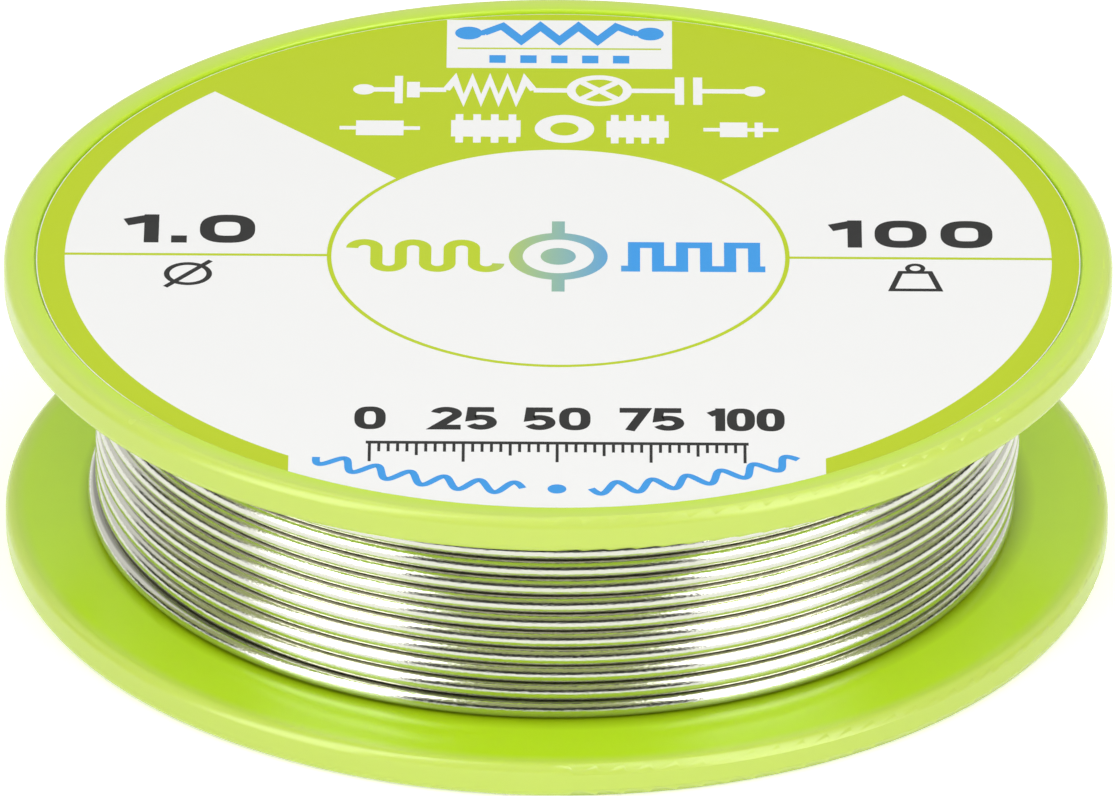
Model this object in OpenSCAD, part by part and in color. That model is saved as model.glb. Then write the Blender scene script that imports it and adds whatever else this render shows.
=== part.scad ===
// Reel of flux-cored solder wire: a two-piece moulded reel, the wire wound on
// its drum, and a round paper label in the recess of the upper flange.
// The reel stands on its lower flange, with its axis on Z.

/* [Flanges] */
// Diameter of both flanges
flange_d = 60; // [54:1:80]
// Clear width between the two flanges
inner_width = 12.9; // [10:0.1:20]
// Thickness of a flange at its rim
rim_t = 2.0; // [1.7:0.1:3]
// Radius of the rounded outer edge of a flange
rim_round = 0.55; // [0.4:0.05:0.8]
// Radial width of the raised rim beside the label recess
rim_w = 1.65; // [1.2:0.05:3]
// Rounding of the rim's edge over the recess
recess_round = 0.15; // [0.05:0.05:0.2]
// Depth of the recess in the outer face of each flange
recess_depth = 0.35; // [0.25:0.05:0.6]
// Fillet between the lower flange and the drum
root_fillet = 0.8; // [0.4:0.1:1.5]

/* [Hub] */
// Outer diameter of the drum that carries the wire
drum_d = 25; // [24:0.5:32]
// Wall of the drum
drum_wall = 1.4; // [1:0.1:2]
// Diameter of the bore for the spindle
bore_d = 12; // [8:0.5:13]
// Wall of the spindle tube
tube_wall = 1.3; // [1:0.1:1.6]
// Chamfer at the mouth of the bore
bore_chamfer = 0.4; // [0.2:0.1:0.6]
// Number of ribs between the spindle tube and the drum
rib_count = 6; // [3:1:8]
// Thickness of a rib
rib_t = 1.2; // [0.8:0.1:1.6]
// How far the ribs stand back from the open end of the hub
rib_setback = 0.6; // [0.3:0.1:2]

/* [Snap joint] */
// Length of the spigot that plugs into the drum
spigot_len = 4.5; // [3.5:0.1:6]
// Wall of the spigot
spigot_wall = 1.2; // [1:0.1:1.5]
// Length over which the ribs reach into the slots of the spigot
key_len = 2.5; // [1.5:0.1:3]
// Height of the snap bead on the spigot
bead_h = 0.2; // [0.1:0.05:0.3]
// Distance from the tip of the spigot to the middle of the bead
bead_back = 1.2; // [1:0.1:1.5]
// Lead-in chamfer on the drum and on the spigot
lead_in = 0.3; // [0.1:0.05:0.4]
// Clearance between the parts of the snap joint
joint_clear = 0.05; // [0.03:0.01:0.1]

/* [Wire] */
// Thickness of the wire across its flats, slim enough to keep the turns apart
wire_d = 0.65; // [0.5:0.01:0.9]
// Clear gap between two neighbouring turns
turn_gap = 0.42; // [0.41:0.01:0.6]
// Diameter over the outer layer of turns
winding_d = 50.2; // [46:0.1:52]
// How far the last turn rises above the layer that it lies in
end_rise = 0.43; // [0:0.01:0.6]
// Angle over which each turn crosses over to the next
crossover_angle = 120; // [90:15:150]
// Clearance between the wound wire and the upper flange
winding_clear = 0.05; // [0.02:0.01:0.1]

/* [Label] */
// Thickness of the paper label
label_t = 0.15; // [0.1:0.01:0.2]
// Clearance between the label and the wall of its recess
label_clear = 0.1; // [0.05:0.05:0.3]

/* [Hidden] */
$fn = 96;

// How far a cut runs past the face that it opens
past = 1;

// Colours
plastic_green = [0.71, 0.84, 0.22];
tin = [0.82, 0.82, 0.80];
inner_tin = [0.66, 0.66, 0.64];
paper = [0.95, 0.95, 0.94];

// Flanges
flange_r = flange_d / 2;
recess_r = flange_r - rim_w;
lower_face_z = rim_t;
upper_face_z = rim_t + inner_width;
reel_h = upper_face_z + rim_t;
upper_recess_z = reel_h - recess_depth;

// Hub
drum_r = drum_d / 2;
drum_in_r = drum_r - drum_wall;
bore_r = bore_d / 2;
tube_r = bore_r + tube_wall;

// Snap joint
spigot_r = drum_in_r - joint_clear;
spigot_tip_z = upper_face_z - spigot_len;
bead_z = spigot_tip_z + bead_back;
bead_r = 2 * bead_h;
bead_centre_r = spigot_r + bead_h - bead_r;
rib_top_z = spigot_tip_z + key_len;
spigot_root = (rim_t - recess_depth) / 2;

// Wire: a six-sided tube, with flats towards the neighbouring turns
rings_per_turn = 24;
sides = 6;
side_angle = 360 / sides;
ring_step = 360 / rings_per_turn;
corner_r = wire_d / 2 / cos(side_angle / 2);
pitch = wire_d + turn_gap;
turns = min(24, 1 + floor((inner_width - winding_clear - wire_d) / pitch));
last_turn = turns - 1;
top_turn_z = lower_face_z + wire_d / 2 + last_turn * pitch;
path_r = winding_d / 2 - corner_r;
core_r = (path_r - corner_r) * cos(ring_step / 2);

// Azimuths: the wire starts and ends at the back, and runs clockwise downwards
start_azimuth = 25;
level_angle = 360 - crossover_angle;
rise_from = 75;
rise_to = 165;
last_ring = rings_per_turn * last_turn + floor(level_angle / ring_step) - 1;

// Where the wire comes up square out of the layer below
bend_r = wire_d;
bend_rings = 4;
notch_clear = 0.1;
notch_floor = path_r - bend_r - wire_d;
notch_w = 2 * (corner_r + notch_clear);

// Smooth step from 0 to 1, level at both ends
function smooth(t) = let(c = max(0, min(1, t))) c * c * (3 - 2 * c);

// Direction in plan at an azimuth
function heading(azimuth) = [cos(azimuth), sin(azimuth), 0];

// Height after travelling angle a: level round the front, one crossover a turn at the back
function turn_z(a) =
    let(whole = floor(a / 360), part = a - 360 * whole)
    top_turn_z - pitch * (whole + smooth((part - level_angle) / crossover_angle));

// Radius after travelling angle a: only the last turn rises
function turn_r(a) =
    let(last = a - 360 * last_turn)
    path_r + end_rise * smooth((last - rise_from) / (rise_to - rise_from));

// A station is the centre of one ring of the tube and the azimuth that the wire heads in
function turn_station(i) =
    let(a = i * ring_step, azimuth = start_azimuth - a)
    [turn_r(a) * heading(azimuth) + [0, 0, turn_z(a)], azimuth - 90];

// The quarter bend between the notch and the first turn
function bend_station(i) =
    let(azimuth = start_azimuth + 90 - 90 * i / bend_rings)
    [
        (path_r - bend_r) * heading(start_azimuth) + bend_r * heading(azimuth) + [0, 0, top_turn_z],
        azimuth - 90
    ];

// A station one wire diameter before or after another, straight along its heading
function straight_on(s, way) = [s[0] + way * wire_d * heading(s[1]), s[1]];

stations = concat(
    [straight_on(bend_station(0), -1)],
    [for (i = [0:bend_rings - 1]) bend_station(i)],
    [for (i = [0:last_ring]) turn_station(i)],
    [straight_on(turn_station(last_ring), 1)]
);

// The corners of the ring at a station
function ring_points(s) =
    [
        for (k = [0:sides - 1])
            s[0] + corner_r * (cos(k * side_angle) * heading(s[1] + 90) + [0, 0, sin(k * side_angle)])
    ];

rings = [for (s = stations) ring_points(s)];

// Least gap of the wire to itself, on rings and points between them at least half a turn apart
samples = 3;
sampled = [
    for (i = [0:len(rings) - 2], j = [0:samples - 1])
        rings[i] + (rings[i + 1] - rings[i]) * j / samples
];
half_turn = samples * rings_per_turn / 2;
function ring_gap(a, b) = min([for (p = a, q = b) norm(p - q)]);
function least_gap() =
    min([
        for (i = [0:len(sampled) - 1 - half_turn], j = [i + half_turn:len(sampled) - 1])
            if (norm(sampled[i][0] - sampled[j][0]) < 2 * pitch) ring_gap(sampled[i], sampled[j])
    ]);

// Concave fillet in the corner between the lower flange and the drum
module root_fillet_profile() {
    translate([drum_r, lower_face_z])
        difference() {
            square(root_fillet);
            translate([root_fillet, root_fillet]) circle(root_fillet);
        }
}

// Half section of a flange that lies on z = 0, with its web from in_r outwards
module flange_profile(in_r) {
    edge_r = flange_r - rim_round;
    translate([in_r, recess_depth]) square([edge_r - in_r, rim_t - recess_depth]);
    translate([recess_r + recess_round, 0]) square([edge_r - recess_r - recess_round, rim_t]);
    translate([recess_r, recess_round]) square([edge_r - recess_r, rim_t - recess_round]);
    translate([recess_r + recess_round, recess_round]) circle(recess_round);
    translate([edge_r, rim_round]) square([rim_round, rim_t - 2 * rim_round]);
    for (z = [rim_round, rim_t - rim_round])
        translate([edge_r, z]) circle(rim_round);
}

// Half section of the drum, with the groove for the snap bead
module drum_profile() {
    difference() {
        translate([drum_in_r, recess_depth]) square([drum_wall, upper_face_z - recess_depth]);
        translate([bead_centre_r, bead_z]) circle(bead_r + joint_clear);
        polygon([
            [drum_in_r - past, upper_face_z + past],
            [drum_in_r - past, upper_face_z - lead_in - past],
            [drum_in_r + lead_in + past, upper_face_z + past]
        ]);
    }
}

// Half section of the spindle tube, chamfered at the mouth of its bore
module tube_profile() {
    difference() {
        translate([bore_r, recess_depth]) square([tube_wall, upper_recess_z - recess_depth]);
        polygon([
            [bore_r - past, recess_depth + bore_chamfer + past],
            [bore_r - past, recess_depth - past],
            [bore_r + bore_chamfer + past, recess_depth - past]
        ]);
    }
}

// Half section of the spigot and its root in the web, with the snap bead and a chamfered tip
module spigot_profile() {
    in_r = spigot_r - spigot_wall;
    difference() {
        translate([in_r, spigot_tip_z]) square([spigot_wall, spigot_len + spigot_root]);
        polygon([
            [spigot_r + past, spigot_tip_z - past],
            [spigot_r + past, spigot_tip_z + lead_in + past],
            [spigot_r - lead_in - past, spigot_tip_z - past]
        ]);
    }
    translate([bead_centre_r, bead_z]) circle(bead_r);
}

// Repeats its children once at each rib
module at_each_rib() {
    for (i = [0:rib_count - 1])
        rotate([0, 0, 360 * i / rib_count]) children();
}

// Lower flange, drum and spindle tube in one moulding, tied by ribs that are open from below
module lower_flange_with_drum() {
    rib_from = bore_r + tube_wall / 2;
    rib_to = drum_in_r + drum_wall / 2;
    rib_bottom = recess_depth + rib_setback;
    color(plastic_green) {
        rotate_extrude() {
            flange_profile(drum_in_r);
            drum_profile();
            tube_profile();
            root_fillet_profile();
        }
        at_each_rib()
            translate([rib_from, -rib_t / 2, rib_bottom])
                cube([rib_to - rib_from, rib_t, rib_top_z - rib_bottom]);
    }
}

// Upper flange with the spigot that snaps into the drum, slotted over the ribs
module upper_flange_cap() {
    slot_w = rib_t + 2 * joint_clear;
    color(plastic_green)
        difference() {
            rotate_extrude() {
                translate([0, reel_h]) mirror([0, 1]) flange_profile(tube_r + joint_clear);
                spigot_profile();
            }
            at_each_rib()
                translate([spigot_r - spigot_wall - past, -slot_w / 2, spigot_tip_z - past])
                    cube([spigot_wall + 2 * past, slot_w, key_len + joint_clear + past]);
        }
}

// The inner layers of wire, as one plain body with a notch where the wire comes up
module inner_wire_layers() {
    top_z = upper_face_z - winding_clear;
    notch_z = top_turn_z - wire_d / 2 - notch_clear;
    color(inner_tin)
        difference() {
            rotate_extrude()
                difference() {
                    translate([drum_r, lower_face_z]) square([core_r - drum_r, top_z - lower_face_z]);
                    root_fillet_profile();
                }
            rotate([0, 0, start_azimuth])
                translate([notch_floor, bend_r - notch_w / 2, notch_z])
                    cube([core_r - notch_floor + past, notch_w, top_z - notch_z + past]);
        }
}

// The outer layer of wire, as one unbroken tube
module outer_wire_layer() {
    count = len(rings);
    far = (count - 1) * sides;
    walls = [
        for (i = [0:count - 2], k = [0:sides - 1])
            let(a = i * sides + k, b = i * sides + (k + 1) % sides)
                each [[a, a + sides, b], [b, a + sides, b + sides]]
    ];
    near_cap = [for (k = [1:sides - 2]) [0, k, k + 1]];
    far_cap = [for (k = [1:sides - 2]) [far, far + k + 1, far + k]];
    color(tin) polyhedron([for (r = rings) each r], concat(walls, near_cap, far_cap), convexity = 10);
    echo(turns = turns, rings = count, least_gap_mm = least_gap());
}

// Round paper label in the recess of the upper flange
module face_label() {
    color(paper)
        translate([0, 0, upper_recess_z]) cylinder(r = recess_r - label_clear, h = label_t);
}

lower_flange_with_drum();
upper_flange_cap();
inner_wire_layers();
outer_wire_layer();
face_label();
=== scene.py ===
import math

import bpy
import numpy as np
from bpy.props import FloatProperty, FloatVectorProperty, IntProperty, PointerProperty
from bpy.types import Operator, Panel, PropertyGroup
from mathutils import Matrix, Vector


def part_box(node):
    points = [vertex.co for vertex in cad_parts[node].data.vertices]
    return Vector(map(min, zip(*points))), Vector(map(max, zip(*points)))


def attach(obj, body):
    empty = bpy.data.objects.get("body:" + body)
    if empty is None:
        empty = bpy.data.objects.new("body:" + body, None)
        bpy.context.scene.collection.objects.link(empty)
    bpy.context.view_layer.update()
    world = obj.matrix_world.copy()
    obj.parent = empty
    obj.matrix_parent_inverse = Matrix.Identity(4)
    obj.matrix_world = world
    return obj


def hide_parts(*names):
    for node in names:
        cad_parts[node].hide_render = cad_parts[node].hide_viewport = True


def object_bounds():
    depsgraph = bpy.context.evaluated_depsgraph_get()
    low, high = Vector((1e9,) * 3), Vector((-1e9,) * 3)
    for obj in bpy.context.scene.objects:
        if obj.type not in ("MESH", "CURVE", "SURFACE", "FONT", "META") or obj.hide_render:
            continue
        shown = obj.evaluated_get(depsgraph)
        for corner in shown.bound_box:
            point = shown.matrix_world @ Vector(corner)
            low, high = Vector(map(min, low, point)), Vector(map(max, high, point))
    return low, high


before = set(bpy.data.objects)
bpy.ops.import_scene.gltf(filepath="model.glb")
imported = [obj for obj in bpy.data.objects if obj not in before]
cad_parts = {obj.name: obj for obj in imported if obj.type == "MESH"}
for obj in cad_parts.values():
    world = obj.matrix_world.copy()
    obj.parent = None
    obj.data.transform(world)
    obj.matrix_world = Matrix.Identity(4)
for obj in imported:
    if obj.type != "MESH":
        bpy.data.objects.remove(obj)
REEL_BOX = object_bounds()
REEL_RADIUS = REEL_BOX[1].x
CORE_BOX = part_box("inner_wire_layers")
LABEL_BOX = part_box("face_label")

bl_info = {
    "name": "Solder Wire Reel",
    "version": (1, 0, 0),
    "blender": (4, 5, 0),
    "location": "3D View > Sidebar > Solder Reel",
    "description": "Winds the wire, prints the label and lights a small reel of solder wire",
    "category": "Object",
}

MM = 0.001
BODY = "root"

# The wire starts at the back right, at this angle from +X towards +Y, and goes clockwise
START_AZIMUTH = math.radians(25)

# The flux core's radius as a share of the wire's diameter
CORE_SHARE = 0.19

# Roughness of the wire and of the layers under it
BRIGHT_ROUGHNESS, DULL_ROUGHNESS = 0.14, 0.45

# How much higher each ink lies where it crosses other ink
INK_LIFT = 0.0015 * MM


# ---- sizes

class WindingSizes(PropertyGroup):
    """The wire and the way in which its outer layer lies"""

    wire_diameter: FloatProperty(
        name="Wire diameter", description="Thickness of the solder wire",
        default=1.055 * MM, unit="LENGTH", precision=5)
    pitch: FloatProperty(
        name="Pitch", description="Distance from one turn to the next",
        default=1.072 * MM, unit="LENGTH", precision=5)
    outer_diameter: FloatProperty(
        name="Winding diameter", description="Diameter over the outer layer",
        default=50.2 * MM, unit="LENGTH", precision=4)
    turns: IntProperty(name="Turns", description="Turns in the outer layer", default=12)
    crossover_angle: FloatProperty(
        name="Crossover", description="Angle at the back over which a turn shifts to the next",
        default=math.radians(120), unit="ROTATION")
    end_rise: FloatProperty(
        name="End rise", description="How far the last turn lies above its layer",
        default=0.43 * MM, unit="LENGTH", precision=5)
    dip: FloatProperty(
        name="Dip", description="How far the lowest turns sink in on the right side",
        default=0.16 * MM, unit="LENGTH", precision=5)
    waviness: FloatProperty(
        name="Waviness", description="How far the soft wire wanders from its line",
        default=0.012 * MM, unit="LENGTH", precision=6)
    flange_face: FloatProperty(
        name="Flange face", description="Height of the lower flange's inner face",
        default=CORE_BOX[0].z, unit="LENGTH", precision=5)
    rings_per_turn: IntProperty(name="Rings per turn", description="Fineness along the wire", default=200)
    sides: IntProperty(name="Sides", description="Fineness round the wire", default=20)


class LabelSizes(PropertyGroup):
    """The printed fields of the round label"""

    ink_height: FloatProperty(
        name="Ink height", description="Thickness of the printed ink",
        default=0.008 * MM, unit="LENGTH", precision=6)
    radius: FloatProperty(
        name="Printed radius", description="Radius out to which the label is printed",
        default=LABEL_BOX[1].x - 0.06 * MM, unit="LENGTH", precision=5)
    band_inner: FloatProperty(
        name="Band's inner radius", description="Inner radius of the green band",
        default=26.7 * MM, unit="LENGTH", precision=4)
    circle_radius: FloatProperty(
        name="Circle radius", description="Radius of the thin green circle",
        default=12.4 * MM, unit="LENGTH", precision=4)
    rule: FloatProperty(
        name="Rule", description="Width of the thin green lines",
        default=0.24 * MM, unit="LENGTH", precision=5)
    gap_half: FloatProperty(
        name="Half gap", description="Half the width of the gap in the band at the front",
        default=14.3 * MM, unit="LENGTH", precision=4)


class ReelColours(PropertyGroup):
    """Colours of the plastic, the metal, the paper and the inks"""

    plastic: FloatVectorProperty(
        name="Plastic", description="Yellow-green of the moulded reel",
        subtype="COLOR", size=3, min=0, max=1, default=(0.535, 0.805, 0.006))
    # Painted sheen: the rims are coloured paler, standing in for the whitish light that they reflect and let
    # in
    plastic_painted_sheen: FloatVectorProperty(
        name="Plastic edge", description="Paler colour of the thin rims, which light shines into",
        subtype="COLOR", size=3, min=0, max=1, default=(0.57, 0.715, 0.12))
    tin: FloatVectorProperty(
        name="Tin", description="Bright tin of the wire",
        subtype="COLOR", size=3, min=0, max=1, default=(0.71, 0.71, 0.63))
    # Painted shade: the lower flank of each turn is coloured in this darker tin, standing in for the shade
    # and dim reflections where the turns touch
    flank_shade_colour: FloatVectorProperty(
        name="Tarnish", description="Duller tin of the flanks, where the turns touch",
        subtype="COLOR", size=3, min=0, max=1, default=(0.56, 0.53, 0.42))
    paper: FloatVectorProperty(
        name="Paper", description="White of the label",
        subtype="COLOR", size=3, min=0, max=1, default=(0.885, 0.885, 0.873))
    green_ink: FloatVectorProperty(
        name="Green ink", description="Green of the printed fields",
        subtype="COLOR", size=3, min=0, max=1, default=(0.50, 0.63, 0.012))
    blue_ink: FloatVectorProperty(
        name="Blue ink", description="Blue of the small motifs",
        subtype="COLOR", size=3, min=0, max=1, default=(0.035, 0.32, 0.78))
    black_ink: FloatVectorProperty(
        name="Black ink", description="Black of the numbers",
        subtype="COLOR", size=3, min=0, max=1, default=(0.012, 0.012, 0.012))


class StudioSizes(PropertyGroup):
    """The camera and the lights"""

    elevation: FloatProperty(
        name="Camera elevation", description="Height of the camera above the horizon",
        default=math.radians(28.65), unit="ROTATION")
    roll: FloatProperty(
        name="Camera roll", description="How far the picture leans to the right",
        default=math.radians(0.32), unit="ROTATION")
    distance: FloatProperty(
        name="Camera distance", description="From the reel's middle to the camera",
        default=1.2, unit="LENGTH")
    frame_width: FloatProperty(
        name="Frame width", description="Width that the picture spans at the reel's middle",
        default=60.53 * MM, unit="LENGTH", precision=4)
    drop: FloatProperty(
        name="Drop", description="How far the picture's middle lies below the reel's middle",
        default=0.42 * MM, unit="LENGTH", precision=5)
    sky: FloatProperty(
        name="Sky", description="Strength of the even light from all round", default=0.54)
    table_glow: FloatProperty(
        name="Table glow", description="Light that the white table gives off by itself", default=0.22)


# ---- mesh helpers

def grid_quads(rows, columns, close_rows=False, close_columns=False):
    """Corners of the quads on a grid of points that is numbered row by row."""
    i = np.arange(rows if close_rows else rows - 1)
    j = np.arange(columns if close_columns else columns - 1)
    i, j = (a.ravel() for a in np.meshgrid(i, j, indexing="ij"))
    up, right = (i + 1) % rows, (j + 1) % columns
    return np.stack([i * columns + j, up * columns + j, up * columns + right, i * columns + right], axis=1)


def outward(points, faces):
    """Turns all faces round if the closed solid's volume, summed over corner triangles, is negative."""
    a, b, c = points[faces[:, 0]], points[faces[:, 1]], points[faces[:, 2]]
    volume = np.einsum("ij,ij->i", a, np.cross(b, c)).sum()
    if faces.shape[1] == 4:
        d = points[faces[:, 3]]
        volume += np.einsum("ij,ij->i", a, np.cross(c, d)).sum()
    return faces if volume > 0 else faces[:, ::-1]


def join(solids):
    """One array of points and one list of faces from several (points, faces)."""
    starts = np.cumsum([0] + [len(p) for p, _ in solids[:-1]])
    faces = [face for (_, f), start in zip(solids, starts) for face in (f + start).tolist()]
    return np.concatenate([p for p, _ in solids]), faces


def add_object(name, data):
    """An object in the scene that holds a mesh, a lamp or a camera."""
    obj = bpy.data.objects.new(name, data)
    bpy.context.scene.collection.objects.link(obj)
    return obj


def add_mesh(name, points, faces, material, smooth=False):
    """A mesh object from arrays; smooth is one answer for all faces or one for each."""
    mesh = bpy.data.meshes.new(name)
    mesh.from_pydata(points.tolist(), [], faces if isinstance(faces, list) else faces.tolist())
    mesh.polygons.foreach_set("use_smooth", np.full(len(faces), smooth))
    mesh.materials.append(material)
    mesh.update()
    return add_object(name, mesh)


def add_piece(name, points, faces, material, smooth=True):
    """A mesh object that rides on the reel, with the finish that it is given."""
    piece = add_mesh(name, points, faces, material, smooth)
    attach(piece, BODY)
    return piece


def lathe(profile, steps):
    """A closed half section, rows of (radius, height), turned round Z: x = r cos t, y = r sin t."""
    t = np.linspace(0, 2 * np.pi, steps, endpoint=False)[:, None]
    r, z = profile[:, 0][None, :], profile[:, 1][None, :]
    points = np.stack([r * np.cos(t), r * np.sin(t), np.broadcast_to(z, (steps, len(profile)))], axis=2)
    points = points.reshape(-1, 3)
    return points, outward(points, grid_quads(steps, len(profile), True, True))


def stroke(path, width, low, high, closed=False):
    """A flat line of ink: a rectangle, width by height, carried along a plan path with mitred corners."""
    path = np.asarray(path, float)
    forward = np.roll(path, -1, axis=0) - path
    if not closed:
        forward[-1] = forward[-2]
    forward /= np.linalg.norm(forward, axis=1)[:, None]
    before = np.roll(forward, 1, axis=0)
    if not closed:
        before[0] = forward[0]
        forward[-1] = before[-1]
    side = forward[:, ::-1] * [-1, 1]
    mean = side + before[:, ::-1] * [-1, 1]
    mean /= np.linalg.norm(mean, axis=1)[:, None]
    sharpest = 0.3
    reach = width / 2 / np.maximum(np.einsum("ij,ij->i", mean, side), sharpest)
    left, right = path + mean * reach[:, None], path - mean * reach[:, None]
    corners = np.stack([left, right, right, left], axis=1)
    heights = np.broadcast_to([low, low, high, high], corners.shape[:2])
    points = np.concatenate([corners, heights[:, :, None]], axis=2).reshape(-1, 3)
    faces = grid_quads(len(path), 4, closed, True)
    if not closed:
        last = 4 * (len(path) - 1)
        faces = np.concatenate([faces, [[0, 1, 2, 3], [last + 3, last + 2, last + 1, last]]])
    return points, outward(points, faces)


def field(lower, upper, low, high, rows=12):
    """A flat area of ink between two plan curves of as many points: each row is their mean in some share."""
    share = np.linspace(0, 1, rows)[:, None, None]
    plan = lower[None] * (1 - share) + upper[None] * share
    columns = len(lower)
    top = np.concatenate([plan, np.full((rows, columns, 1), high)], axis=2).reshape(-1, 3)
    bottom = top * [1, 1, 0] + [0, 0, low]
    quads = grid_quads(rows, columns)
    count = rows * columns
    edge = np.concatenate([
        np.arange(columns - 1),
        np.arange(rows - 1) * columns + columns - 1,
        np.arange(count - 1, count - columns, -1),
        np.arange(rows - 1, 0, -1) * columns,
    ])
    ahead = np.roll(edge, -1)
    walls = np.stack([edge, ahead, ahead + count, edge + count], axis=1)
    points = np.concatenate([top, bottom])
    faces = np.concatenate([quads, quads[:, ::-1] + count, walls])
    return points, outward(points, faces)


def arc(radius, start, end, steps, centre=(0, 0)):
    """Points on a circle from one angle to another: centre + radius (cos t, sin t)."""
    t = np.linspace(start, end, steps)
    return np.stack([centre[0] + radius * np.cos(t), centre[1] + radius * np.sin(t)], axis=1)


def full_circle(radius, steps, centre=(0, 0)):
    """Points all the way round a circle, each of them once."""
    return arc(radius, 0, 2 * math.pi * (steps - 1) / steps, steps, centre)


def smooth_step(t):
    """From 0 to 1 with no slope at either end: 3 t squared less 2 t cubed."""
    t = np.clip(t, 0, 1)
    return t * t * (3 - 2 * t)


# ---- node helpers

def new_material(name):
    """An empty node material and its tree of nodes."""
    material = bpy.data.materials.new(name)
    material.use_nodes = True
    material.node_tree.nodes.clear()
    return material, material.node_tree


def add_node(tree, kind, values=None, **settings):
    """One shader node with its settings; a value is plain or the output that feeds the socket."""
    node = tree.nodes.new("ShaderNode" + kind)
    for key, value in settings.items():
        setattr(node, key, value)
    for key, value in (values or {}).items():
        if isinstance(value, bpy.types.NodeSocket):
            tree.links.new(value, node.inputs[key])
        else:
            node.inputs[key].default_value = value
    return node


def ranged(tree, value, low, high, to_low=0.0, to_high=1.0, kind="LINEAR"):
    """A value carried from one range over to another, and kept inside it."""
    values = {"Value": value, "From Min": low, "From Max": high, "To Min": to_low, "To Max": to_high}
    return add_node(tree, "MapRange", values, interpolation_type=kind).outputs["Result"]


def spread(tree, mask, low, high):
    """A noise mask, which mostly lies between 0.3 and 0.7, spread over another range."""
    return ranged(tree, mask, 0.3, 0.7, low, high)


def blend(tree, share, first, second, how="MIX"):
    """Two colours, plain or from outputs, mixed by a share from 0 to 1."""
    first, second = (c if isinstance(c, bpy.types.NodeSocket) else (*c, 1) for c in (first, second))
    mix = add_node(tree, "Mix", {0: share, 6: first, 7: second}, data_type="RGBA", blend_type=how)
    return mix.outputs[2]


def tinted(tree, mask, colour, darker):
    """A colour that varies a little with a mask, from a darker share of it up to itself."""
    return blend(tree, mask, [c * darker for c in colour], colour)


def surface_grain_group():
    """Fine surface grain: a mask from two scales of noise, and the normal that a bump of it gives."""
    group = bpy.data.node_groups.get("surface_grain")
    if group:
        return group
    group = bpy.data.node_groups.new("surface_grain", "ShaderNodeTree")
    for name, kind, value in (
        ("Vector", "NodeSocketVector", None), ("Coarse scale", "NodeSocketFloat", 200.0),
        ("Fine scale", "NodeSocketFloat", 4000.0), ("Height", "NodeSocketFloat", 1e-6),
    ):
        socket = group.interface.new_socket(name, in_out="INPUT", socket_type=kind)
        if value is not None:
            socket.default_value = value
    inside = group.nodes.new("NodeGroupInput").outputs
    coarse = add_node(group, "TexNoise", {
        "Vector": inside["Vector"], "Scale": inside["Coarse scale"], "Detail": 3.0, "Roughness": 0.55})
    fine = add_node(group, "TexNoise", {
        "Vector": inside["Vector"], "Scale": inside["Fine scale"], "Detail": 2.0, "Roughness": 0.6})
    bump = add_node(group, "Bump", {
        "Height": fine.outputs["Fac"], "Distance": inside["Height"], "Strength": 1.0})
    outside = group.nodes.new("NodeGroupOutput")
    for name, kind, source in (
        ("Coarse", "NodeSocketFloat", coarse.outputs["Fac"]),
        ("Fine", "NodeSocketFloat", fine.outputs["Fac"]),
        ("Normal", "NodeSocketVector", bump.outputs["Normal"]),
    ):
        group.interface.new_socket(name, in_out="OUTPUT", socket_type=kind)
        group.links.new(source, outside.inputs[name])
    return group


def add_grain(tree, vector, coarse, fine, height):
    """The outputs of the surface grain group in a material, fed with a vector."""
    values = {"Vector": vector, "Coarse scale": coarse, "Fine scale": fine, "Height": height}
    return add_node(tree, "Group", values, node_tree=surface_grain_group()).outputs


def moulded_plastic(name, colours, winding_radius, sheen_from):
    """Glossy moulded plastic, a little translucent, with a faint orange peel.

    It has a painted sheen, paler towards the rim to stand in for the light that the rim reflects and lets
    in, and a painted shadow, darker beside the winding.
    """
    sheen_to = REEL_RADIUS - 0.1 * MM
    # Painted shadow: beside the winding the plastic is darkened to a share of its colour, where shade falls
    shadow_from, shadow_to, painted_shadow_level = winding_radius - 0.1 * MM, winding_radius + 1.0 * MM, 0.62
    material, tree = new_material(name)
    place = add_node(tree, "TexCoord").outputs["Object"]
    grain = add_grain(tree, place, 90.0, 900.0, 2.0e-6)
    flat = add_node(tree, "VectorMath", {0: place, 1: (1, 1, 0)}, operation="MULTIPLY")
    reach = add_node(tree, "VectorMath", {0: flat.outputs["Vector"]}, operation="LENGTH").outputs["Value"]
    # Painted shadow: darker next to the winding
    root = ranged(tree, reach, shadow_from, shadow_to, painted_shadow_level)
    plastic_with_painted_shadow = blend(tree, 1.0, tinted(tree, grain["Coarse"], colours.plastic, 0.96), root, "MULTIPLY")
    # Painted sheen: towards the rim the colour turns paler, standing in for the light that the rim reflects
    # and lets in
    edge = ranged(tree, reach, sheen_from, sheen_to, kind="SMOOTHSTEP")
    shader = add_node(tree, "BsdfPrincipled", {
        "IOR": 1.47, "Subsurface Weight": 0.2, "Subsurface Radius": (0.8, 1.0, 0.15),
        "Subsurface Scale": 0.001,
        "Base Color": blend(tree, edge, plastic_with_painted_shadow, colours.plastic_painted_sheen),
        "Roughness": spread(tree, grain["Coarse"], 0.18, 0.28),
        "Normal": grain["Normal"],
    })
    add_node(tree, "OutputMaterial", {"Surface": shader.outputs["BSDF"]})
    return material


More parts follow.
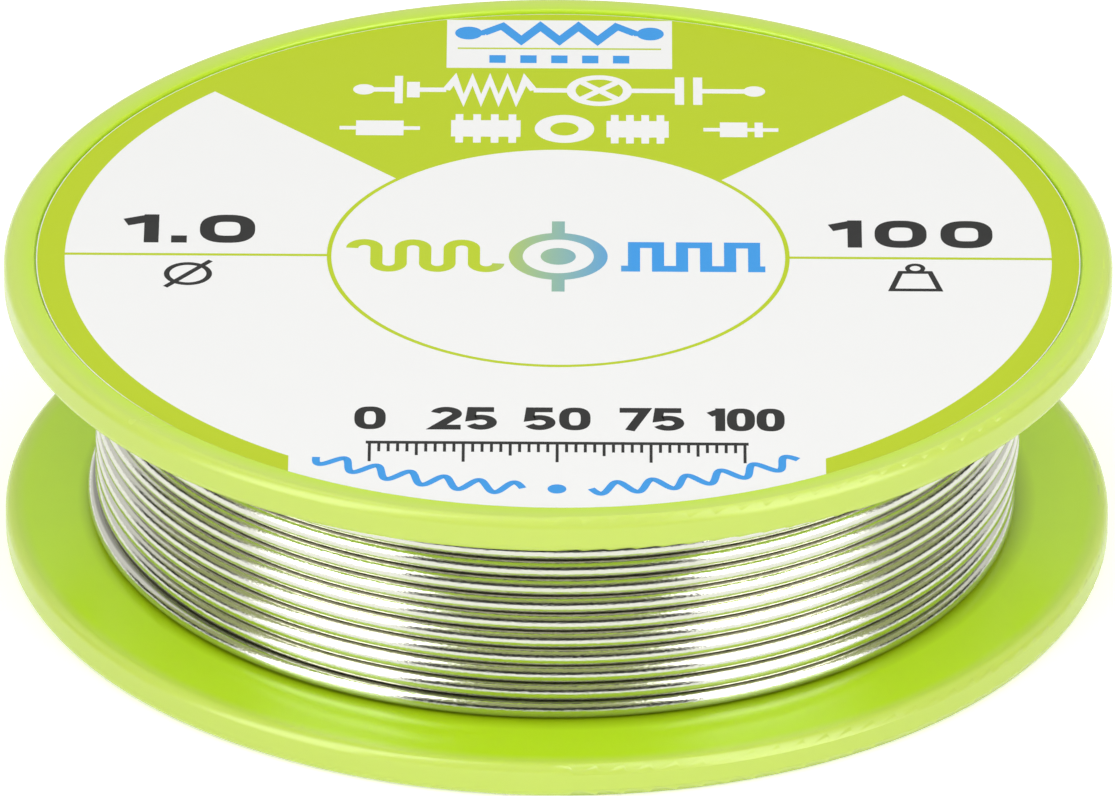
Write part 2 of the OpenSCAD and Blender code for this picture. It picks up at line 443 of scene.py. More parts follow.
def drawn_tin(name, colour, flank_shade_colour, roughness, thickness):
    """Bright soft solder, drawn through a die, with fine streaks along the wire and a granular sparkle.

    It has painted shade: the crease at the top of each turn is darker, and the lower flank is darker and
    less metallic, where the turns touch. UV y is the way round the wire, so sin(2 y / thickness) is a
    height from -1 to 1. With no such UV it stays plain.
    """
    # Painted shade: the crease at the top of each turn is coloured down to a share of the tin
    crease_from, crease_to, painted_crease_shade = 0.82, 0.93, 0.46
    # Painted shade: down the lower flank the tin turns darker and less metallic
    flank_from, flank_to = -0.30, -0.85
    metal, shaded_flank_metal = 0.96, 0.88
    material, tree = new_material(name)
    uv = add_node(tree, "UVMap", uv_map="along_wire").outputs["UV"]
    stretch = add_node(tree, "Mapping", {"Vector": uv, "Scale": (0.3, 1.0, 1.0)})
    grain = add_grain(tree, stretch.outputs["Vector"], 900.0, 13000.0, 9e-6)
    across = add_node(tree, "SeparateXYZ", {0: uv}).outputs["Y"]
    turn = add_node(tree, "Math", {0: across, 1: 2 / thickness}, operation="MULTIPLY")
    height = add_node(tree, "Math", {0: turn.outputs["Value"]}, operation="SINE").outputs["Value"]
    # Painted shade in the crease at the top of each turn
    upper = ranged(tree, height, crease_from, crease_to)
    # Painted shade down the lower flank of each turn
    lower = ranged(tree, height, flank_from, flank_to)
    flank_with_painted_shade = blend(tree, lower, tinted(tree, grain["Coarse"], colour, 0.93), flank_shade_colour)
    shader = add_node(tree, "BsdfPrincipled", {
        "Base Color": blend(tree, upper, flank_with_painted_shade, [painted_crease_shade * c for c in colour]),
        "Metallic": ranged(tree, lower, 0.0, 1.0, metal, shaded_flank_metal),
        "Roughness": spread(tree, grain["Fine"], roughness * 0.7, roughness * 1.5),
        "Normal": grain["Normal"],
    })
    add_node(tree, "OutputMaterial", {"Surface": shader.outputs["BSDF"]})
    return material


def printed_sheet(name, colour, specular=0.5, colour_to=None, half_width=1.0):
    """Coated paper or satin ink on it, with a faint tooth; the ink may run to a second colour across X."""
    material, tree = new_material(name)
    place = add_node(tree, "TexCoord").outputs["Object"]
    grain = add_grain(tree, place, 400.0, 9000.0, 6e-7)
    shade = tinted(tree, grain["Fine"], colour, 0.985)
    if colour_to:
        across = add_node(tree, "SeparateXYZ", {0: place}).outputs["X"]
        shade = blend(tree, ranged(tree, across, -half_width, half_width), shade, colour_to)
    shader = add_node(tree, "BsdfPrincipled", {
        "IOR": 1.4, "Specular IOR Level": specular,
        "Base Color": shade,
        "Roughness": spread(tree, grain["Coarse"], 0.44, 0.52),
        "Normal": grain["Normal"],
    })
    add_node(tree, "OutputMaterial", {"Surface": shader.outputs["BSDF"]})
    return material


def dress_node(name, material):
    """A CAD node keeps its shape and gets a finish."""
    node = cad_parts[name]
    node.data.materials.clear()
    node.data.materials.append(material)


# ---- the winding

def wander(travel, *waves):
    """A sum of sines of the travelled angle, each with its size, its pace and its phase."""
    return sum(size * np.sin(pace * travel + phase) for size, pace, phase in waves)


def wire_path(sizes):
    """The wire's centre line, as travelled angle, radius and height.

    It runs clockwise downwards, level round the front, and shifts by one pitch over the crossover
    at the back. It climbs out of the layer below before it starts, and its last turn rises.
    """
    d = sizes.wire_diameter
    full_turn = 2 * math.pi
    level = full_turn - sizes.crossover_angle
    lead_in, lead_out = math.radians(30), level - math.radians(8)
    rise_from, rise_over = math.radians(98), math.radians(90)
    dipping_turns, dip_narrowness = 3.5, 8
    last = full_turn * (sizes.turns - 1)
    count = int(sizes.rings_per_turn * (lead_in + last + lead_out) / full_turn)
    travel = np.linspace(-lead_in, last + lead_out, count)
    whole = np.floor(np.maximum(travel, 0) / full_turn)
    part = travel - whole * full_turn
    base = sizes.outer_diameter / 2 - d / 2
    radius = base - d * (1 - smooth_step(1 + travel / lead_in))
    rise = sizes.end_rise * smooth_step((travel - last - rise_from) / rise_over)
    radius = radius + rise
    top = sizes.flange_face + d / 2 + (sizes.turns - 1) * sizes.pitch
    height = top - sizes.pitch * (whole + smooth_step((part - level) / sizes.crossover_angle))
    height = height + sizes.pitch - np.sqrt(sizes.pitch ** 2 - rise ** 2)
    azimuth = START_AZIMUTH - travel
    low_turns = smooth_step((travel - full_turn * (sizes.turns - dipping_turns)) / full_turn)
    radius = radius - sizes.dip * low_turns * np.maximum(np.cos(azimuth), 0) ** dip_narrowness
    drift = sizes.waviness * wander(travel, (0.5, 2.71, 0.4), (0.3, 6.43, 1.9))
    height = height + np.where(whole < sizes.turns - 1, drift, 0)
    radius = radius + sizes.waviness * wander(travel, (1.6, 1.87, 2.2), (1.0, 5.11, 0))
    return travel, radius, height


def swept_wire(travel, radius, height, thickness, sides):
    """A round wire: each ring is centre + thickness / 2 (cos v out + sin v up) for v round the wire.

    Gives its points with the two ends' middles last, its quads and the length up to each ring.
    """
    azimuth = START_AZIMUTH - travel
    out = np.stack([np.cos(azimuth), np.sin(azimuth), np.zeros_like(azimuth)], axis=1)
    centre = out * radius[:, None] + np.stack([0 * height, 0 * height, height], axis=1)
    v = np.linspace(0, 2 * np.pi, sides, endpoint=False)[None, :, None]
    rings = centre[:, None] + thickness / 2 * (np.cos(v) * out[:, None] + np.sin(v) * np.array([0, 0, 1.0]))
    points = np.concatenate([rings.reshape(-1, 3), centre[[0, -1]]])
    quads = grid_quads(len(travel), sides, False, True)[:, ::-1]
    steps = np.linalg.norm(np.diff(centre, axis=0), axis=1)
    return points, quads, np.concatenate([[0], np.cumsum(steps)])


def end_fans(rings, sides):
    """Triangles from each end's middle to its last ring."""
    j = np.arange(sides)
    ahead = (j + 1) % sides
    middle = rings * sides
    far = middle - sides
    first = np.stack([ahead, j, np.full(sides, middle)], axis=1)
    last = np.stack([far + j, far + ahead, np.full(sides, middle + 1)], axis=1)
    return np.concatenate([first, last])


def lay_along_wire(mesh, along, sides, thickness):
    """UV in metres: the first coordinate runs along the wire, the second round it."""
    corner = np.zeros(len(mesh.loops), np.int32)
    mesh.loops.foreach_get("vertex_index", corner)
    ring = np.minimum(corner // sides, len(along) - 1)
    side = corner % sides
    polygon = np.arange(len(mesh.loops)) // 4
    is_quad = polygon < (len(along) - 1) * sides
    wraps = is_quad & (side == 0) & (polygon % sides == sides - 1)
    round_wire = np.where(wraps, sides, side) * math.pi * thickness / sides
    uv = np.stack([along[ring], round_wire], axis=1).astype(np.float32)
    mesh.uv_layers.new(name="along_wire")
    mesh.uv_layers["along_wire"].uv.foreach_set("vector", uv.ravel())


class SOLDER_OT_wind_wire(Operator):
    """Winds the outer layer of solder wire as one unbroken wire"""

    bl_idname = "solder.wind_wire"
    bl_label = "Wind the wire"

    def execute(self, context):
        sizes, colours = context.scene.solder_winding, context.scene.solder_colours
        thickness, sides = sizes.wire_diameter, sizes.sides
        travel, radius, height = wire_path(sizes)
        points, quads, along = swept_wire(travel, radius, height, thickness, sides)
        faces = quads.tolist() + end_fans(len(travel), sides).tolist()
        is_side = np.arange(len(faces)) < len(quads)
        tin = drawn_tin("drawn_tin_wire", colours.tin, colours.flank_shade_colour, BRIGHT_ROUGHNESS, thickness)
        wire = add_piece("wound_solder_wire", points, faces, tin, is_side)
        lay_along_wire(wire.data, along, sides, thickness)
        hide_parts("outer_wire_layer")
        self.cored_end(points[-1], travel[-1], sizes)
        return {"FINISHED"}

    def cored_end(self, middle, travelled, sizes):
        """The resin core in the cut end: a shallow dome, middle + r (cos v out + sin v up) + bulge ahead."""
        azimuth = START_AZIMUTH - travelled
        out = np.array([math.cos(azimuth), math.sin(azimuth), 0])
        ahead = np.array([math.sin(azimuth), -math.cos(azimuth), 0])
        sides = 24
        v = np.linspace(0, 2 * np.pi, sides, endpoint=False)[None, :, None]
        # Rows from the dome's middle to the one inside the wire: share of the core's radius, bulge in mm
        rows = np.array([
            [0.001, 0.03], [0.4, 0.028], [0.8, 0.018], [1.0, 0.0], [1.0, -0.05], [0.001, -0.05]])
        reach = rows[:, 0][:, None, None] * sizes.wire_diameter * CORE_SHARE
        bulge = rows[:, 1][:, None, None] * MM
        points = middle + reach * (np.cos(v) * out + np.sin(v) * np.array([0, 0, 1.0])) + bulge * ahead
        first, last = list(range(sides)), list(range(sides * len(rows) - 1, sides * (len(rows) - 1) - 1, -1))
        faces = [first, last] + grid_quads(len(rows), sides, False, True).tolist()
        amber = printed_sheet("amber_flux_core", (0.55, 0.27, 0.05), 0.6)
        add_piece("flux_core_end", points.reshape(-1, 3), faces, amber)


class SOLDER_OT_wind_inner_layers(Operator):
    """Makes the layers under the outer one, with the turns that show between its wires"""

    bl_idname = "solder.wind_inner_layers"
    bl_label = "Wind the inner layers"

    def execute(self, context):
        sizes = context.scene.solder_winding
        d, pitch = sizes.wire_diameter, sizes.pitch
        low, high = CORE_BOX[0].z, CORE_BOX[1].z
        centre_r = sizes.outer_diameter / 2 - d / 2 - pitch * math.sqrt(3) / 2
        turn = np.arange(sizes.turns - 1)[:, None]
        bend = np.linspace(-math.pi / 2, math.pi / 2, 9)[None, :]
        ridge_z = (low + d / 2 + pitch * (turn + 0.5) + d / 2 * np.sin(bend)).ravel()
        ridge_r = (centre_r + d / 2 * np.cos(bend) + 0 * turn).ravel()
        drum_radius, clear_of_drum = 12.5 * MM, 0.85 * MM
        inner_r = drum_radius + clear_of_drum
        profile = np.concatenate([
            [[inner_r, low], [centre_r, low]],
            np.stack([ridge_r, ridge_z], axis=1),
            [[centre_r, high], [inner_r, high]],
        ])
        points, faces = lathe(profile, steps=240)
        # Painted shade: the layers under the outer turns get the tin at half its colour, standing in for the
        # shade between the turns
        shaded_tin = [0.5 * c for c in context.scene.solder_colours.tin]
        material = drawn_tin("shaded_tin_layers", shaded_tin, shaded_tin, DULL_ROUGHNESS, d)
        layers = add_piece("inner_solder_turns", points, faces, material)
        layers.data.uv_layers.new(name="along_wire")
        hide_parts("inner_wire_layers")
        return {"FINISHED"}


# ---- the reel and its label

class SOLDER_OT_finish_reel(Operator):
    """Gives both mouldings of the reel their glossy plastic"""

    bl_idname = "solder.finish_reel"
    bl_label = "Finish the reel"

    def execute(self, context):
        colours = context.scene.solder_colours
        winding_radius = context.scene.solder_winding.outer_diameter / 2
        # Each moulding has a painted sheen: a pale band of its own width at the rim
        for node, sheen_width in (("lower_flange_with_drum", 1.3 * MM), ("upper_flange_cap", 2.2 * MM)):
            plastic = moulded_plastic("moulded_plastic_" + node, colours, winding_radius, REEL_RADIUS - sheen_width)
            dress_node(node, plastic)
        return {"FINISHED"}


def ink_levels(sizes, layer=1):
    """Lowest and highest height of an ink layer on the label's face."""
    face = LABEL_BOX[1].z
    return face - sizes.ink_height, face + layer * sizes.ink_height


def lifted(levels, steps):
    """The same layer a few microns thicker, for ink that crosses other ink."""
    return levels[0], levels[1] + INK_LIFT * steps


def bar(x0, y0, x1, y1, width, levels):
    """A straight bar of ink between two points in millimetres."""
    return stroke([[x0 * MM, y0 * MM], [x1 * MM, y1 * MM]], width * MM, *levels)


def line(path, width, levels, closed=False):
    """A bent line of ink through points in millimetres."""
    return stroke(np.asarray(path, float) * MM, width * MM, *levels, closed)


def ring(x, y, radius, width, levels, steps=48):
    """A round of ink: a circle with a line of some width, in millimetres."""
    return line(full_circle(radius, steps, (x, y)), width, levels, True)


def dot(x, y, radius, levels):
    """A filled round of ink: a ring as wide as its radius."""
    return ring(x, y, radius * 0.505, radius * 0.99, levels, steps=28)


def digit_lines(digit, w):
    """The middle lines of a bold digit's strokes of width w, one high and 0.8 wide, and if they close."""
    roundness = 0.72
    t = np.linspace(0, 2 * np.pi, 47, endpoint=False)
    round_x = 0.4 + (0.4 - w / 2) * np.sign(np.cos(t)) * np.abs(np.cos(t)) ** roundness
    round_y = 0.5 + (0.5 - w / 2) * np.sign(np.sin(t)) * np.abs(np.sin(t)) ** roundness
    if digit == "0":
        return [(np.stack([round_x, round_y], axis=1), True)]
    if digit == "1":
        return [([[0.45, 0], [0.45, 1]], False), ([[0.10, 0.72], [0.44, 0.88]], False)]
    if digit == "2":
        a = np.radians(np.linspace(168, -42, 25))
        bend = np.stack([0.4 + (0.4 - w / 2) * np.cos(a), 0.70 + (0.30 - w / 2) * np.sin(a)], axis=1)
        return [(np.concatenate([bend, [[w * 0.62, w / 2], [0.8, w / 2]]]), False)]
    if digit == "5":
        a = np.radians(np.linspace(118, -152, 29))
        bowl = np.stack([0.39 + (0.41 - w / 2) * np.cos(a), 0.33 + (0.33 - w / 2) * np.sin(a)], axis=1)
        return [(np.concatenate([[[0.75, 1 - w / 2], [0.15, 1 - w / 2], [0.11, 0.50]], bowl]), False)]
    if digit == "7":
        return [([[0.02, 1 - w / 2], [0.72, 1 - w / 2], [0.30, 0]], False)]
    if digit == ".":
        return [([[0.0, w * 0.5], [w * 0.85, w * 0.5]], False)]
    raise ValueError("There is no drawing for " + digit)


def digits(body, x, y, height, stretch, weight, levels):
    """A plain bold number round a place in millimetres: each digit is a few strokes of ink."""
    narrow, usual, gap = {".": 0.36, "1": 0.72}, 0.96, 0.16
    steps = np.array([narrow.get(digit, usual) for digit in body])
    starts = np.concatenate([[0], np.cumsum(steps)[:-1]]) - (steps.sum() - gap) / 2
    solids = []
    for digit, start in zip(body, starts):
        for k, (path, closed) in enumerate(digit_lines(digit, weight)):
            plan = (np.asarray(path) + [start, -0.5]) * [stretch, 1] * height + [x, y]
            solids.append(line(plan, weight * height, lifted(levels, k), closed))
    return solids


class SOLDER_OT_print_fields(Operator):
    """Prints the label's green band, its sector, its circle and its rules"""

    bl_idname = "solder.print_fields"
    bl_label = "Print the fields"

    def execute(self, context):
        sizes, colours = context.scene.solder_label, context.scene.solder_colours
        dress_node("face_label", printed_sheet("label_paper", colours.paper))
        levels = ink_levels(sizes)

        # The band's two ends stand upright on either side of the gap
        edges = []
        for radius in (sizes.band_inner, sizes.radius):
            turn = math.asin(sizes.gap_half / radius)
            edges.append(arc(radius, -math.pi / 2 + turn, 1.5 * math.pi - turn, 361))
        band = field(*edges, *levels, rows=2)
        side, overlap = math.radians(45), 0.02 * MM
        sector = field(
            arc(sizes.circle_radius, math.pi - side, side, 91),
            arc(sizes.band_inner + overlap, math.pi - side, side, 91), *lifted(levels, 1))
        circle = stroke(full_circle(sizes.circle_radius, 240), sizes.rule, *lifted(levels, 2), True)
        rules = [
            stroke([[way * sizes.circle_radius, 0], [way * sizes.band_inner, 0]], sizes.rule, *levels)
            for way in (-1, 1)
        ]
        points, faces = join([band, sector, circle, *rules])
        green = printed_sheet("label_green_ink", colours.green_ink, 0.2)
        add_piece("label_green_print", points, faces, green, False)
        return {"FINISHED"}


class SOLDER_OT_print_motifs(Operator):
    """Prints plain electronics figures: symbols, parts, waves and a plate with a zigzag"""

    bl_idname = "solder.print_motifs"
    bl_label = "Print the figures"

    def execute(self, context):
        sizes, colours = context.scene.solder_label, context.scene.solder_colours
        first, second, third = (ink_levels(sizes, layer) for layer in (1, 2, 3))
        white = printed_sheet("label_white_ink", colours.paper)
        blue = printed_sheet("label_blue_ink", colours.blue_ink, 0.3)
        circuit_y, parts_y, plate_y, rule_y = 19.2, 14.7, 24.63, 24.1
        plate = bar(-6.2, plate_y, 6.2, plate_y, 5.66, second)
        points, faces = join(self.circuit_row(circuit_y, second) + self.parts_row(parts_y, second) + [plate])
        add_piece("label_white_print", points, faces, white, False)
        points, faces = join(self.plate_figure(third) + self.front_wave(first))
        add_piece("label_blue_print", points, faces, blue, False)
        points, faces = bar(-5.6, rule_y, 5.6, rule_y, 0.16, third)
        green = printed_sheet("label_plate_rule_ink", colours.green_ink, 0.3)
        add_piece("label_plate_rule", points, faces, green, False)
        points, faces = join(self.centre_waves(first))
        fade_half = 4 * MM
        fade = printed_sheet("label_fading_ink", colours.green_ink, 0.3, tuple(colours.blue_ink), fade_half)
        add_piece("label_centre_print", points, faces, fade, False)
        return {"FINISHED"}

    def circuit_row(self, y, levels):
        """Battery, resistor, lamp and capacitor on one line."""
        over, top = lifted(levels, 1), lifted(levels, 2)
        wide, thin, tall, lamp, cross = 0.5, 0.45, 1.6, 2.2, 1.05
        zigzag = y + 1.25 * np.array([0, 1, -1, 1, -1, 1, -1, 1, -1, 1, 0])
        joints = ((-10.4, -8.9), (-7.8, -6.2), (-1.4, 0.55), (3.85, 6.4), (7.8, 10.4))
        return [
            *[bar(start, y, end, y, wide, levels) for start, end in joints],
            dot(-10.7, y, 0.6, over), bar(-8.8, y - tall, -8.8, y + tall, thin, over),
            bar(-8.0, y - 0.9, -8.0, y + 0.9, 0.7, over),
            line(np.stack([np.linspace(-6.2, -1.4, 11), zigzag], axis=1), thin, over),
            ring(lamp, y, 1.55, wide, over),
            bar(lamp - cross, y - cross, lamp + cross, y + cross, thin, levels),
            bar(lamp - cross, y + cross, lamp + cross, y - cross, thin, top),
            *[bar(x, y - tall, x, y + tall, wide, over) for x in (6.6, 7.6)], dot(10.7, y, 0.6, over),
        ]

    def parts_row(self, y, levels):
        """Five parts seen from above: resistor, chip, round can, chip and diode."""
        over = lifted(levels, 1)
        leg, body, chip = 0.4, 1.7, 1.9
        solids = [
            bar(-12.0, y, -7.6, y, leg, levels), bar(-11.1, y, -8.5, y, body, over),
            bar(-5.9, y, -2.1, y, chip, over), ring(0.3, y, 1.2, 0.85, levels),
            bar(2.6, y, 6.0, y, chip, over), bar(7.9, y, 12.0, y, leg, levels),
            bar(8.8, y, 10.3, y, body, over), bar(10.7, y, 11.15, y, body, over),
        ]
        pin_reach, pin_width = 1.65, 0.42
        for middle, reach in ((-4.0, 1.45), (4.3, 1.25)):
            for x in np.linspace(middle - reach, middle + reach, 4):
                solids.append(bar(x, y - pin_reach, x, y + pin_reach, pin_width, levels))
        return solids

    def plate_figure(self, levels):
        """A bold zigzag with two pads above, and a row of short bars below."""
        zigzag_y, bars_y, pad_x = 25.9, 22.85, 5.0
        wave = zigzag_y + 0.85 * np.array([0, 1, -1, 1, -1, 1, -1, 1, 0])
        zigzag = np.stack([np.linspace(-4.2, 4.2, 9), wave], axis=1)
        bars = [bar(x - 0.45, bars_y, x + 0.45, bars_y, 0.9, levels) for x in np.linspace(-3.4, 3.4, 5)]
        pads = [dot(way * pad_x, zigzag_y, 0.75, lifted(levels, 1)) for way in (-1, 1)]
        ends = [bar(way * 4.1, zigzag_y, way * pad_x, zigzag_y, 0.5, lifted(levels, 2)) for way in (-1, 1)]
        return [line(zigzag, 0.62, levels), *pads, *ends, *bars]

    def front_wave(self, levels):
        """A wave along the gap's arc, radius = middle + swing sin(phase), with a dot in its middle."""
        middle, swing, waves, width = 26.05, 0.6, 6, 0.42
        solids = [dot(0, -middle, 0.5, levels)]
        for start, end in ((-119.5, -94.0), (-86.0, -60.5)):
            turn = np.linspace(start, end, 241)
            reach = middle + swing * np.sin((turn - start) / (end - start) * 2 * math.pi * waves)
            a = np.radians(turn)
            solids.append(line(np.stack([reach * np.cos(a), reach * np.sin(a)], axis=1), width, levels))
        return solids

    def centre_waves(self, levels):
        """Round waves on the left, a pad with a joint in the middle and square pulses on the right."""
        width = bend = 0.66
        first, straight = -10.5, 0.85
        bends = []
        for k in range(6):
            up = 1 if k % 2 == 0 else -1
            a = np.radians(np.linspace(180, 0, 19)) * up
            x = first + 2 * bend * k + bend * np.cos(a)
            bends.append(np.stack([x, up * straight + bend * np.sin(a)], axis=1))
        begin, end, period, rise, fall, top = 3.4, 11.2, 2.6, 0.7, 2.0, 1.35
        pulses = [[begin, -top]]
        for k in range(3):
            up, down = begin + period * k + rise, begin + period * k + fall
            pulses += [[up, -top], [up, top], [down, top], [down, -top]]
        pulses.append([end, -top])
        legs = [bar(0, way * 2.4, 0, way * 4.0, 0.7, lifted(levels, 1)) for way in (1, -1)]
        return [line(np.concatenate(bends), width, levels), line(pulses, width, levels),
                ring(0, 0, 2.3, 0.75, levels, steps=72), dot(0, 0, 0.95, levels), *legs]


class SOLDER_OT_print_numbers(Operator):
    """Prints plain numbers, a diameter sign, a weight sign and a ruler"""

    bl_idname = "solder.print_numbers"
    bl_label = "Print the numbers"

    def execute(self, context):
        sizes, colours = context.scene.solder_label, context.scene.solder_colours
        levels = ink_levels(sizes)
        black = printed_sheet("label_black_ink", colours.black_ink, 0.3)
        over, thin = lifted(levels, 1), 0.3
        solids = digits("1.0", -20.1, 2.95, 3.2, 1.25, 0.25, levels)
        solids += digits("100", 19.0, 2.75, 3.1, 1.2, 0.25, levels)
        ruler_half, ruler_y, numbers_y = 10, -21.0, -18.3
        for body, x in zip(("0", "25", "50", "75", "100"), np.linspace(-ruler_half, ruler_half, 5)):
            solids += digits(body, x, numbers_y, 2.5, 0.66 if body == "100" else 0.78, 0.21, levels)
        solids.append(bar(-10.2, ruler_y, 10.2, ruler_y, thin, levels))
        for k, x in enumerate(np.linspace(-ruler_half, ruler_half, 41)):
            length = 2.1 if k % 10 == 0 else 1.4 if k % 5 == 0 else 1.0
            solids.append(bar(x, ruler_y + 0.05, x, ruler_y - length, 0.16, over))
        solids += [ring(-20.0, -2.2, 1.15, thin, levels), bar(-21.2, -3.7, -18.8, -0.7, thin, over)]
        weight = [[18.0, -3.6], [20.6, -3.6], [20.1, -1.6], [18.5, -1.6]]
        solids += [line(weight, thin, levels, True), ring(19.3, -1.15, 0.42, 0.25, over, steps=24)]
        points, faces = join(solids)
        add_piece("label_black_print", points, faces, black, False)
        return {"FINISHED"}


# ---- the studio

def aim(obj, place, target):
    """Puts a lamp or a card at a place, turned towards a target."""
    obj.location = place
    obj.rotation_euler = (Vector(target) - Vector(place)).to_track_quat("-Z", "Y").to_euler()


def on_dome(azimuth, elevation, distance, centre):
    """A place round the reel: azimuth 0 is where the camera stands, and grows to its right."""
    a, e = math.radians(azimuth), math.radians(elevation)
    way = Vector((math.sin(a) * math.cos(e), -math.cos(a) * math.cos(e), math.sin(e)))
    return Vector(centre) + distance * way


def soft_box(name, place, target, size, power):
    """A rectangular soft light."""
    lamp = bpy.data.lights.new(name, "AREA")
    lamp.shape = "RECTANGLE"
    lamp.size, lamp.size_y = size
    lamp.energy = power
    obj = add_object(name, lamp)
    aim(obj, place, target)
    return obj


def screen(name, azimuths, heights, distance, shade):
    """A curved screen that only reflections see: a patch of a dome round the reel, cut off at the table.

    Its points are distance (sin a cos e, -cos a cos e, sin e) for azimuth a and elevation e.
    """
    columns, rows, lowest = 25, 13, 0.0005
    a = np.radians(np.linspace(*azimuths, columns))[None, :]
    e = np.radians(np.linspace(*heights, rows))[:, None]
    ways = np.stack([np.sin(a) * np.cos(e), -np.cos(a) * np.cos(e), np.sin(e) + 0 * a], axis=2)
    points = ways.reshape(-1, 3) * distance + [0, 0, REEL_BOX[1].z / 2]
    points[:, 2] = np.maximum(points[:, 2], lowest)
    material, tree = new_material(name)
    glow = add_node(tree, "Emission", {"Color": (*shade, 1)})
    add_node(tree, "OutputMaterial", {"Surface": glow.outputs["Emission"]})
    card = add_mesh(name, points, grid_quads(rows, columns), material)
    card.visible_camera = card.visible_diffuse = card.visible_shadow = False
    card.visible_transmission = False


def seen_plainly(tree):
    """1 for camera, glossy and transmission rays, which see the white background as it is, and else 0."""
    path = add_node(tree, "LightPath").outputs
    result = path["Is Camera Ray"]
    for kind in ("Is Glossy Ray", "Is Transmission Ray"):
        result = add_node(tree, "Math", {0: result, 1: path[kind]}, operation="MAXIMUM").outputs["Value"]
    return result


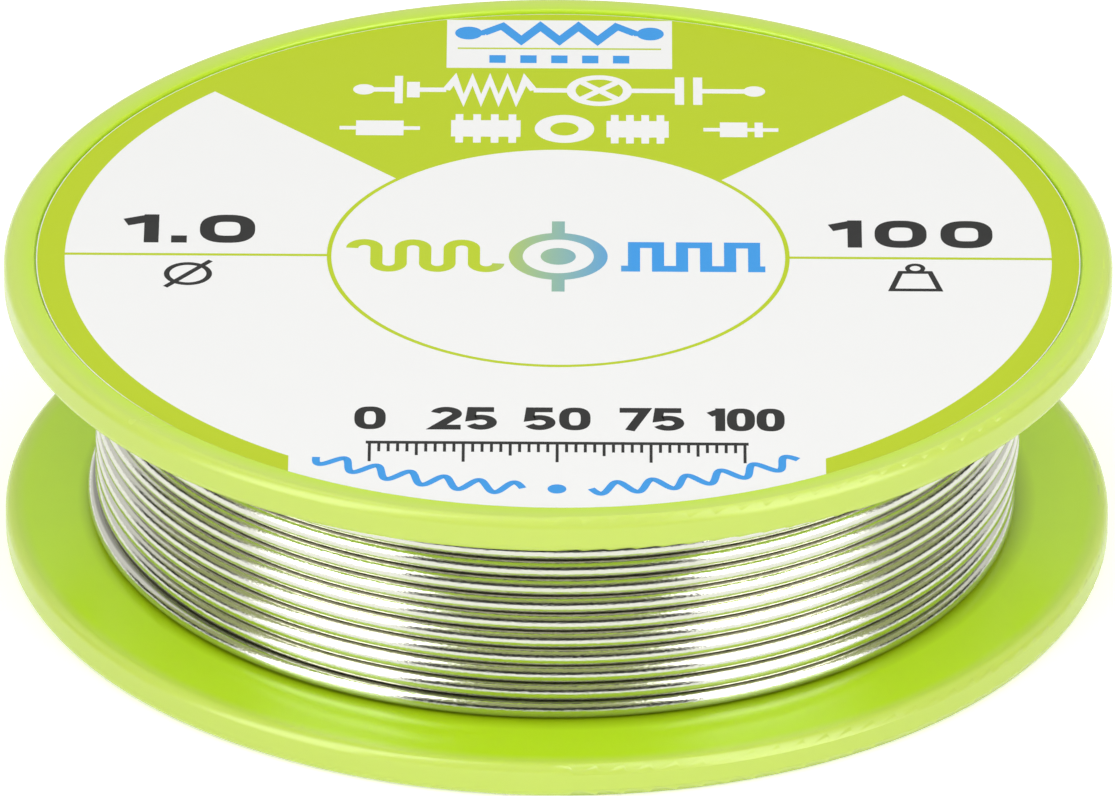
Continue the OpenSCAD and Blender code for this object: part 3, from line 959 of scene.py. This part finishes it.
class SOLDER_OT_set_studio(Operator):
    """Sets the white table, the sky, the soft lights and the camera"""

    bl_idname = "solder.set_studio"
    bl_label = "Set the studio"

    def execute(self, context):
        sizes = context.scene.solder_studio
        scene = context.scene
        scene.view_settings.view_transform = "Standard"
        centre = (REEL_BOX[0] + REEL_BOX[1]) / 2
        self.white_table(sizes)
        self.even_sky(scene, sizes)
        for name, azimuth in (("left_soft_light", -53), ("right_soft_light", 53)):
            soft_box(name, on_dome(azimuth, 38, 0.75, centre), centre, (0.46, 1.0), 1.5)
        fill = soft_box("front_fill", on_dome(0, 48, 0.8, centre), centre, (1.0, 0.5), 1.7)
        top = soft_box("top_fill", on_dome(180, 75, 0.9, centre), centre, (0.8, 0.8), 0.7)
        fill.visible_glossy = top.visible_glossy = False
        dark, olive, pale = (0.006, 0.006, 0.005), (0.37, 0.42, 0.16), (0.80, 0.80, 0.79)
        bright, brightest = (2.2, 2.2, 2.2), (4.6, 4.6, 4.5)
        dim_distance, bright_distance = 0.6, 0.58
        for name, azimuths, dark_to, distance in (
            ("front", (-33, 31), 22, 0.10), ("left", (-112, -74), 14, 0.17), ("right", (76, 116), 14, 0.17),
        ):
            screen(name + "_low_screen", azimuths, (-6, dark_to), distance, dark)
            screen(name + "_screen", azimuths, (12, 90), dim_distance, olive)
        screen("back_screen", (120, 244), (0, 60), dim_distance, pale)
        screen("left_bright_screen", (-71, -35), (0, 86), bright_distance, brightest)
        screen("right_bright_screen", (33, 73), (0, 86), bright_distance, brightest)
        screen("top_bright_screen", (130, 230), (58, 84), bright_distance, bright)
        self.set_camera(scene, sizes, centre)
        return {"FINISHED"}

    def white_table(self, sizes):
        """A table that glows a little, so that it's white and still keeps the reel's shadow.

        Its points are half a side times u cubed both ways for u from -1 to 1, so that it is finest
        under the reel. It lies a touch below the reel, so that the two never share a plane.
        """
        count, half_side, below = 17, 6.0, 0.02 * MM
        u = np.linspace(-1, 1, count)
        x, y = np.meshgrid(half_side * u ** 3, half_side * u ** 3)
        points = np.stack([x, y, np.full_like(x, -below)], axis=2).reshape(-1, 3)
        material, tree = new_material("white_table")
        diffuse = add_node(tree, "BsdfDiffuse", {"Color": (0.84, 0.84, 0.84, 1)})
        plain_glow = sizes.table_glow + 0.18
        level = ranged(tree, seen_plainly(tree), 0.0, 1.0, sizes.table_glow, plain_glow)
        glow = add_node(tree, "Emission", {"Color": (1, 1, 1, 1), "Strength": level})
        both = add_node(tree, "AddShader", {0: diffuse.outputs["BSDF"], 1: glow.outputs["Emission"]})
        clear = add_node(tree, "BsdfTransparent")
        side = add_node(tree, "NewGeometry").outputs["Backfacing"]
        mix = add_node(tree, "MixShader", {"Fac": side, 1: both.outputs["Shader"], 2: clear.outputs["BSDF"]})
        add_node(tree, "OutputMaterial", {"Surface": mix.outputs["Shader"]})
        table = add_mesh("white_table", points, grid_quads(count, count)[:, ::-1], material)

    def even_sky(self, scene, sizes):
        """Even light from all round, which the camera and reflections see as white."""
        world = bpy.data.worlds.new("even_sky")
        world.use_nodes = True
        tree = world.node_tree
        tree.nodes.clear()
        dim, white = (
            add_node(tree, "Background", {"Color": (1, 1, 1, 1), "Strength": strength}).outputs["Background"]
            for strength in (sizes.sky, 1.0))
        mix = add_node(tree, "MixShader", {"Fac": seen_plainly(tree), 1: dim, 2: white})
        add_node(tree, "OutputWorld", {"Surface": mix.outputs["Shader"]})
        scene.world = world

    def set_camera(self, scene, sizes, centre):
        """A long lens in front of the reel, above the horizon and with a slight roll."""
        sensor_width = 36.0
        camera_data = bpy.data.cameras.new("camera")
        camera_data.sensor_width = sensor_width
        camera_data.lens = sensor_width * sizes.distance / sizes.frame_width
        camera_data.clip_start, camera_data.clip_end = 0.05, 50.0
        e, r = sizes.elevation, sizes.roll
        right, up = Vector((1, 0, 0)), Vector((0, math.sin(e), math.cos(e)))
        back = Vector((0, -math.cos(e), math.sin(e)))
        x_axis = math.cos(r) * right + math.sin(r) * up
        y_axis = math.cos(r) * up - math.sin(r) * right
        place = centre + sizes.distance * back - sizes.drop * y_axis
        camera = add_object("camera", camera_data)
        turned = Matrix((x_axis, y_axis, back)).transposed().to_4x4()
        camera.matrix_world = Matrix.Translation(place) @ turned
        scene.camera = camera


class SOLDER_PT_reel(Panel):
    """Lists the reel's sizes and the steps that make it"""

    bl_idname = "SOLDER_PT_reel"
    bl_label = "Solder Wire Reel"
    bl_space_type = "VIEW_3D"
    bl_region_type = "UI"
    bl_category = "Solder Reel"

    def draw(self, context):
        for item in CLASSES:
            if issubclass(item, Operator):
                self.layout.operator(item.bl_idname)
        for name in SETTINGS:
            group = getattr(context.scene, name)
            box = self.layout.box()
            for key in group.__annotations__:
                box.prop(group, key)


CLASSES = (
    WindingSizes, LabelSizes, ReelColours, StudioSizes,
    SOLDER_OT_set_studio, SOLDER_OT_finish_reel, SOLDER_OT_wind_inner_layers, SOLDER_OT_wind_wire,
    SOLDER_OT_print_fields, SOLDER_OT_print_motifs, SOLDER_OT_print_numbers, SOLDER_PT_reel,
)
SETTINGS = ("solder_winding", "solder_label", "solder_colours", "solder_studio")


def register():
    """Registers the classes and hangs their sizes on the scene."""
    for item in CLASSES:
        bpy.utils.register_class(item)
    bpy.types.Scene.solder_winding = PointerProperty(type=WindingSizes)
    bpy.types.Scene.solder_label = PointerProperty(type=LabelSizes)
    bpy.types.Scene.solder_colours = PointerProperty(type=ReelColours)
    bpy.types.Scene.solder_studio = PointerProperty(type=StudioSizes)


def unregister():
    """Takes the sizes off the scene and the classes out again."""
    for name in SETTINGS:
        delattr(bpy.types.Scene, name)
    for item in reversed(CLASSES):
        bpy.utils.unregister_class(item)


def main():
    """Builds the dressed reel."""
    register()
    bpy.ops.solder.set_studio()
    bpy.ops.solder.finish_reel()
    bpy.ops.solder.wind_inner_layers()
    bpy.ops.solder.wind_wire()
    bpy.ops.solder.print_fields()
    bpy.ops.solder.print_motifs()
    bpy.ops.solder.print_numbers()


if __name__ == "__main__":
    main()
